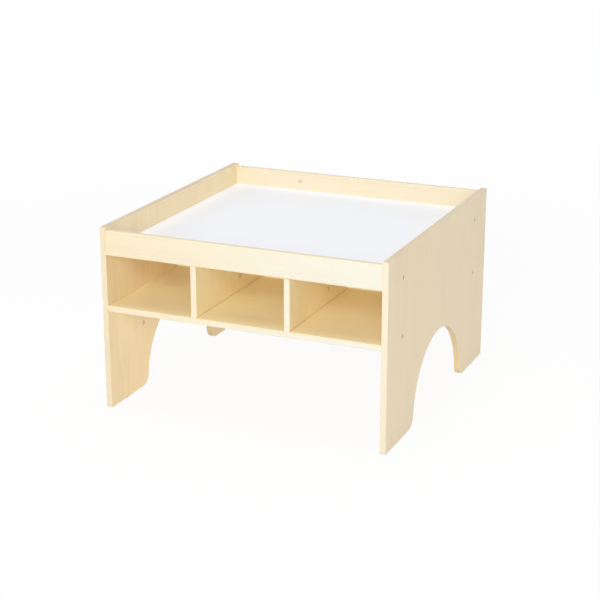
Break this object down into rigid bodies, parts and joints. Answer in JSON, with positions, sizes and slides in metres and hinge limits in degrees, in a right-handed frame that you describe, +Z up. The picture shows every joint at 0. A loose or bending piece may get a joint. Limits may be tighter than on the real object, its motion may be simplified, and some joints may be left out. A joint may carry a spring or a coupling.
{
  "type": "play table",
  "caption": "Square wooden play table with a raised lip around a white recessed top, open cubbies on two sides over a shelf, and arched end panels as legs.",
  "frame": {"origin": "on the floor, under the middle of the table", "axes": "+X to the right, +Y to the rear, +Z upwards; the front is the side the picture shows"},
  "size_m": [0.8, 0.8, 0.5053],
  "materials": {
    "light_maple_board": "satin lacquered light maple or birch face, edges a little paler",
    "white_laminate": "fine matt white laminate",
    "zinc_steel": "bright zinc plate",
    "beech_dowel": "plain turned hardwood",
    "glide_plastic": "smooth brown moulded pad"
  },
  "bodies": {
    "root": {"left_end_panel": "light_maple_board", "right_end_panel": "light_maple_board", "front_rail": "light_maple_board", "rear_rail": "light_maple_board", "shelf": "light_maple_board", "spine_panel": "light_maple_board", "front_left_divider": "light_maple_board", "front_right_divider": "light_maple_board", "rear_left_divider": "light_maple_board", "rear_right_divider": "light_maple_board", "top_board": "white_laminate", "left_top_front_bolt": "zinc_steel", "left_top_rear_bolt": "zinc_steel", "left_shelf_front_bolt": "zinc_steel", "left_shelf_rear_bolt": "zinc_steel", "right_top_front_bolt": "zinc_steel", "right_top_rear_bolt": "zinc_steel", "right_shelf_front_bolt": "zinc_steel", "right_shelf_rear_bolt": "zinc_steel", "front_left_divider_bolt": "zinc_steel", "front_right_divider_bolt": "zinc_steel", "rear_left_divider_bolt": "zinc_steel", "rear_right_divider_bolt": "zinc_steel", "left_top_front_nut": "zinc_steel", "left_top_rear_nut": "zinc_steel", "left_shelf_front_nut": "zinc_steel", "left_shelf_rear_nut": "zinc_steel", "right_top_front_nut": "zinc_steel", "right_top_rear_nut": "zinc_steel", "right_shelf_front_nut": "zinc_steel", "right_shelf_rear_nut": "zinc_steel", "front_left_divider_nut": "zinc_steel", "front_right_divider_nut": "zinc_steel", "rear_left_divider_nut": "zinc_steel", "rear_right_divider_nut": "zinc_steel", "left_panel_insert": "zinc_steel", "rear_rail_insert": "zinc_steel", "front_left_divider_foot_dowel": "beech_dowel", "front_left_divider_head_dowel": "beech_dowel", "front_rail_left_lower_dowel": "beech_dowel", "front_rail_left_upper_dowel": "beech_dowel", "front_right_divider_foot_dowel": "beech_dowel", "front_right_divider_head_dowel": "beech_dowel", "front_rail_right_lower_dowel": "beech_dowel", "front_rail_right_upper_dowel": "beech_dowel", "rear_left_divider_foot_dowel": "beech_dowel", "rear_left_divider_head_dowel": "beech_dowel", "rear_rail_left_lower_dowel": "beech_dowel", "rear_rail_left_upper_dowel": "beech_dowel", "rear_right_divider_foot_dowel": "beech_dowel", "rear_right_divider_head_dowel": "beech_dowel", "rear_rail_right_lower_dowel": "beech_dowel", "rear_rail_right_upper_dowel": "beech_dowel", "left_cross_dowel": "beech_dowel", "right_cross_dowel": "beech_dowel", "front_left_glide": "glide_plastic", "front_right_glide": "glide_plastic", "rear_left_glide": "glide_plastic", "rear_right_glide": "glide_plastic"}
  },
  "joints": []
}
